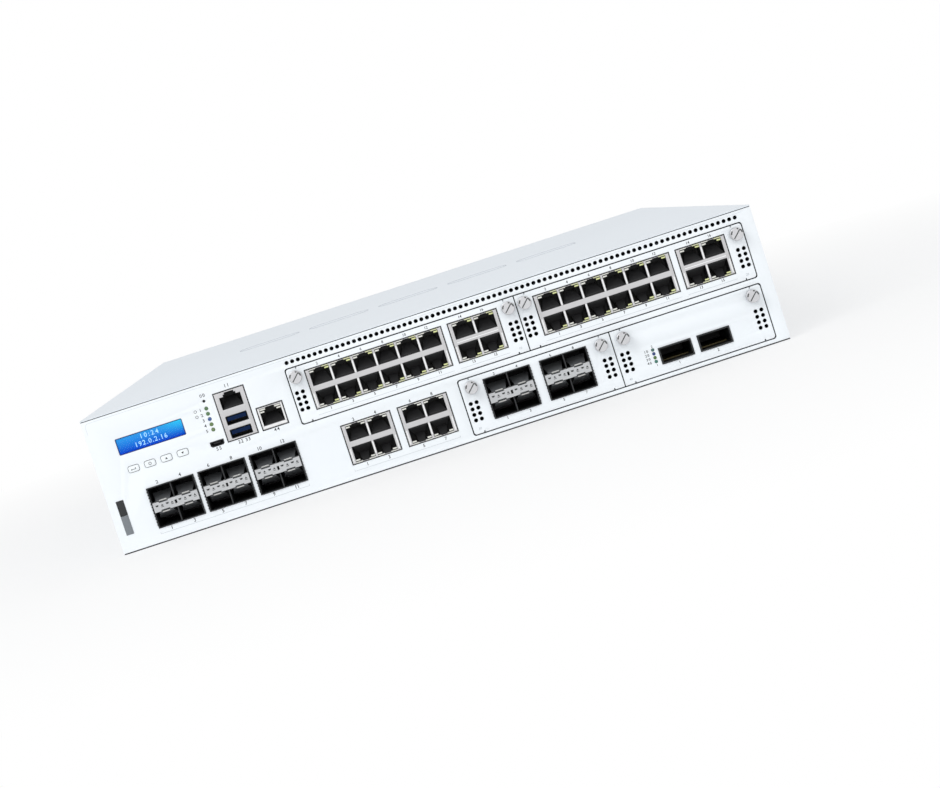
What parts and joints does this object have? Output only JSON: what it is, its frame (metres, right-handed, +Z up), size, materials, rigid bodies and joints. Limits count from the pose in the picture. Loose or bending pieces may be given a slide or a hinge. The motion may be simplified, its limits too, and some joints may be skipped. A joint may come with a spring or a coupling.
{
  "type": "rack firewall appliance",
  "caption": "Rack-mounted firewall with a display and keys, network and optical ports, slide-in port modules on captive screws, and draw-out fans and power supplies at the rear",
  "frame": {"origin": "middle of the flat underside of the chassis", "axes": "+X to the right seen from the front, the front faces -Y, +Z up"},
  "size_m": [0.438, 0.6289, 0.088],
  "materials": {
    "panel_paint": "fine matt white powder coat",
    "lid_paint": "fine matt pale grey powder coat",
    "case_paint": "fine matt pale grey powder coat",
    "zinc_sheet": "zinc-coated sheet",
    "tinned_shield": "tinned sheet, satin",
    "socket_plastic": "moulded, matt",
    "cage_steel": "nickel-plated sheet",
    "light_bar_plastic": "moulded, satin",
    "display_glass": "clear window over a lit screen",
    "key_plastic": "moulded, satin",
    "dark_plastic": "moulded, matt",
    "light_pipe": "clear moulding, lit",
    "circuit_board": "green board laminate",
    "heatsink_aluminium": "extruded, plain",
    "memory_board": "board laminate with dark chips",
    "screw_steel": "nickel-plated, turned",
    "supply_steel": "zinc-coated sheet",
    "latch_plastic": "moulded, satin",
    "rotor_plastic": "moulded, satin",
    "fan_plastic": "moulded, matt",
    "rocker_plastic": "moulded, gloss"
  },
  "bodies": {
    "chassis": {"chassis_base": "case_paint", "circuit_boards": "circuit_board", "cover_screws": "screw_steel", "display_window": "display_glass", "earth_insert": "screw_steel", "fixed_jack_housings": "socket_plastic", "fixed_jack_shields": "tinned_shield", "fixed_sfp_bars": "light_bar_plastic", "fixed_sfp_cages": "cage_steel", "front_panel": "panel_paint", "heatsinks": "heatsink_aluminium", "memory_modules": "memory_board", "module_bay_frame": "zinc_sheet", "power_switch_housing": "dark_plastic", "rear_wall": "case_paint", "status_light_pipes": "light_pipe", "top_cover": "lid_paint"},
    "module_a": {"module_a_bezel": "panel_paint", "module_a_board": "circuit_board", "module_a_jack_housings": "socket_plastic", "module_a_jack_shields": "tinned_shield"},
    "module_a_thumbscrew_left": {"module_a_thumbscrew_left": "screw_steel"},
    "module_a_thumbscrew_right": {"module_a_thumbscrew_right": "screw_steel"},
    "module_b": {"module_b_bezel": "panel_paint", "module_b_board": "circuit_board", "module_b_jack_housings": "socket_plastic", "module_b_jack_shields": "tinned_shield"},
    "module_b_thumbscrew_left": {"module_b_thumbscrew_left": "screw_steel"},
    "module_b_thumbscrew_right": {"module_b_thumbscrew_right": "screw_steel"},
    "module_c": {"module_c_bezel": "panel_paint", "module_c_board": "circuit_board", "module_c_sfp_bars": "light_bar_plastic", "module_c_sfp_cages": "cage_steel"},
    "module_c_thumbscrew_left": {"module_c_thumbscrew_left": "screw_steel"},
    "module_c_thumbscrew_right": {"module_c_thumbscrew_right": "screw_steel"},
    "module_d": {"module_d_bezel": "panel_paint", "module_d_board": "circuit_board", "module_d_qsfp_cages": "cage_steel"},
    "module_d_thumbscrew_left": {"module_d_thumbscrew_left": "screw_steel"},
    "module_d_thumbscrew_right": {"module_d_thumbscrew_right": "screw_steel"},
    "psu_1": {"psu_1_case": "supply_steel"},
    "psu_1_latch": {"psu_1_latch": "latch_plastic"},
    "psu_1_fan": {"psu_1_fan_rotor": "rotor_plastic"},
    "psu_2": {"psu_2_case": "supply_steel"},
    "psu_2_latch": {"psu_2_latch": "latch_plastic"},
    "psu_2_fan": {"psu_2_fan_rotor": "rotor_plastic"},
    "fan_1": {"fan_1_frame": "fan_plastic"},
    "fan_1_spinner": {"fan_1_rotor": "rotor_plastic"},
    "fan_2": {"fan_2_frame": "fan_plastic"},
    "fan_2_spinner": {"fan_2_rotor": "rotor_plastic"},
    "fan_3": {"fan_3_frame": "fan_plastic"},
    "fan_3_spinner": {"fan_3_rotor": "rotor_plastic"},
    "fan_4": {"fan_4_frame": "fan_plastic"},
    "fan_4_spinner": {"fan_4_rotor": "rotor_plastic"},
    "key_enter": {"key_enter": "key_plastic"},
    "key_escape": {"key_escape": "key_plastic"},
    "key_up": {"key_up": "key_plastic"},
    "key_down": {"key_down": "key_plastic"},
    "reset_button": {"reset_button": "dark_plastic"},
    "power_rocker": {"power_switch_rocker": "rocker_plastic"}
  },
  "joints": [
    {"name": "module_a_slide", "type": "slide", "parent": "chassis", "child": "module_a", "axis": [0, -1, 0], "range_m": [0, 0.18]},
    {"name": "module_a_screw_left", "type": "hinge", "parent": "module_a", "child": "module_a_thumbscrew_left", "pos_m": [-0.0828, -0.3, 0.0732], "axis": [0, -1, 0], "range_deg": [0, 1080]},
    {"name": "module_a_screw_right", "type": "hinge", "parent": "module_a", "child": "module_a_thumbscrew_right", "pos_m": [0.0558, -0.3, 0.0732], "axis": [0, -1, 0], "range_deg": [0, 1080]},
    {"name": "module_b_slide", "type": "slide", "parent": "chassis", "child": "module_b", "axis": [0, -1, 0], "range_m": [0, 0.18]},
    {"name": "module_b_screw_left", "type": "hinge", "parent": "module_b", "child": "module_b_thumbscrew_left", "pos_m": [0.0666, -0.3, 0.0732], "axis": [0, -1, 0], "range_deg": [0, 1080]},
    {"name": "module_b_screw_right", "type": "hinge", "parent": "module_b", "child": "module_b_thumbscrew_right", "pos_m": [0.2052, -0.3, 0.0732], "axis": [0, -1, 0], "range_deg": [0, 1080]},
    {"name": "module_c_slide", "type": "slide", "parent": "chassis", "child": "module_c", "axis": [0, -1, 0], "range_m": [0, 0.18]},
    {"name": "module_c_screw_left", "type": "hinge", "parent": "module_c", "child": "module_c_thumbscrew_left", "pos_m": [0.0189, -0.3, 0.0332], "axis": [0, -1, 0], "range_deg": [0, 1080]},
    {"name": "module_c_screw_right", "type": "hinge", "parent": "module_c", "child": "module_c_thumbscrew_right", "pos_m": [0.10395, -0.3, 0.0332], "axis": [0, -1, 0], "range_deg": [0, 1080]},
    {"name": "module_d_slide", "type": "slide", "parent": "chassis", "child": "module_d", "axis": [0, -1, 0], "range_m": [0, 0.18]},
    {"name": "module_d_screw_left", "type": "hinge", "parent": "module_d", "child": "module_d_thumbscrew_left", "pos_m": [0.11835, -0.3, 0.0332], "axis": [0, -1, 0], "range_deg": [0, 1080]},
    {"name": "module_d_screw_right", "type": "hinge", "parent": "module_d", "child": "module_d_thumbscrew_right", "pos_m": [0.2034, -0.3, 0.0332], "axis": [0, -1, 0], "range_deg": [0, 1080]},
    {"name": "psu_1_slide", "type": "slide", "parent": "chassis", "child": "psu_1", "axis": [0, 1, 0], "range_m": [0, 0.19]},
    {"name": "psu_1_latch_pivot", "type": "hinge", "parent": "psu_1", "child": "psu_1_latch", "pos_m": [0.2105, 0.2864, 0.0229], "axis": [0, 0, 1], "range_deg": [0, 8], "stiffness_Nm_per_rad": 0.05},
    {"name": "psu_1_fan_spin", "type": "hinge", "parent": "psu_1", "child": "psu_1_fan", "pos_m": [0.1875, 0.29, 0.0229], "axis": [0, 1, 0], "continuous": true},
    {"name": "psu_2_slide", "type": "slide", "parent": "chassis", "child": "psu_2", "axis": [0, 1, 0], "range_m": [0, 0.19]},
    {"name": "psu_2_latch_pivot", "type": "hinge", "parent": "psu_2", "child": "psu_2_latch", "pos_m": [0.2105, 0.2864, 0.0637], "axis": [0, 0, 1], "range_deg": [0, 8], "stiffness_Nm_per_rad": 0.05},
    {"name": "psu_2_fan_spin", "type": "hinge", "parent": "psu_2", "child": "psu_2_fan", "pos_m": [0.1875, 0.29, 0.0637], "axis": [0, 1, 0], "continuous": true},
    {"name": "fan_1_slide", "type": "slide", "parent": "chassis", "child": "fan_1", "axis": [0, 1, 0], "range_m": [0, 0.05]},
    {"name": "fan_1_spin", "type": "hinge", "parent": "fan_1", "child": "fan_1_spinner", "pos_m": [-0.1505, 0.281, 0.044], "axis": [0, 1, 0], "continuous": true},
    {"name": "fan_2_slide", "type": "slide", "parent": "chassis", "child": "fan_2", "axis": [0, 1, 0], "range_m": [0, 0.05]},
    {"name": "fan_2_spin", "type": "hinge", "parent": "fan_2", "child": "fan_2_spinner", "pos_m": [-0.0685, 0.281, 0.044], "axis": [0, 1, 0], "continuous": true},
    {"name": "fan_3_slide", "type": "slide", "parent": "chassis", "child": "fan_3", "axis": [0, 1, 0], "range_m": [0, 0.05]},
    {"name": "fan_3_spin", "type": "hinge", "parent": "fan_3", "child": "fan_3_spinner", "pos_m": [0.0135, 0.281, 0.044], "axis": [0, 1, 0], "continuous": true},
    {"name": "fan_4_slide", "type": "slide", "parent": "chassis", "child": "fan_4", "axis": [0, 1, 0], "range_m": [0, 0.05]},
    {"name": "fan_4_spin", "type": "hinge", "parent": "fan_4", "child": "fan_4_spinner", "pos_m": [0.0955, 0.281, 0.044], "axis": [0, 1, 0], "continuous": true},
    {"name": "key_enter_press", "type": "slide", "parent": "chassis", "child": "key_enter", "axis": [0, 1, 0], "range_m": [0, 0.0008], "stiffness_N_per_m": 800},
    {"name": "key_escape_press", "type": "slide", "parent": "chassis", "child": "key_escape", "axis": [0, 1, 0], "range_m": [0, 0.0008], "stiffness_N_per_m": 800},
    {"name": "key_up_press", "type": "slide", "parent": "chassis", "child": "key_up", "axis": [0, 1, 0], "range_m": [0, 0.0008], "stiffness_N_per_m": 800},
    {"name": "key_down_press", "type": "slide", "parent": "chassis", "child": "key_down", "axis": [0, 1, 0], "range_m": [0, 0.0008], "stiffness_N_per_m": 800},
    {"name": "reset_press", "type": "slide", "parent": "chassis", "child": "reset_button", "axis": [0, 1, 0], "range_m": [0, 0.0004], "stiffness_N_per_m": 800},
    {"name": "power_rocker_pivot", "type": "hinge", "parent": "chassis", "child": "power_rocker", "pos_m": [-0.20475, 0.296, 0.062], "axis": [1, 0, 0], "range_deg": [-14, 0]}
  ]
}
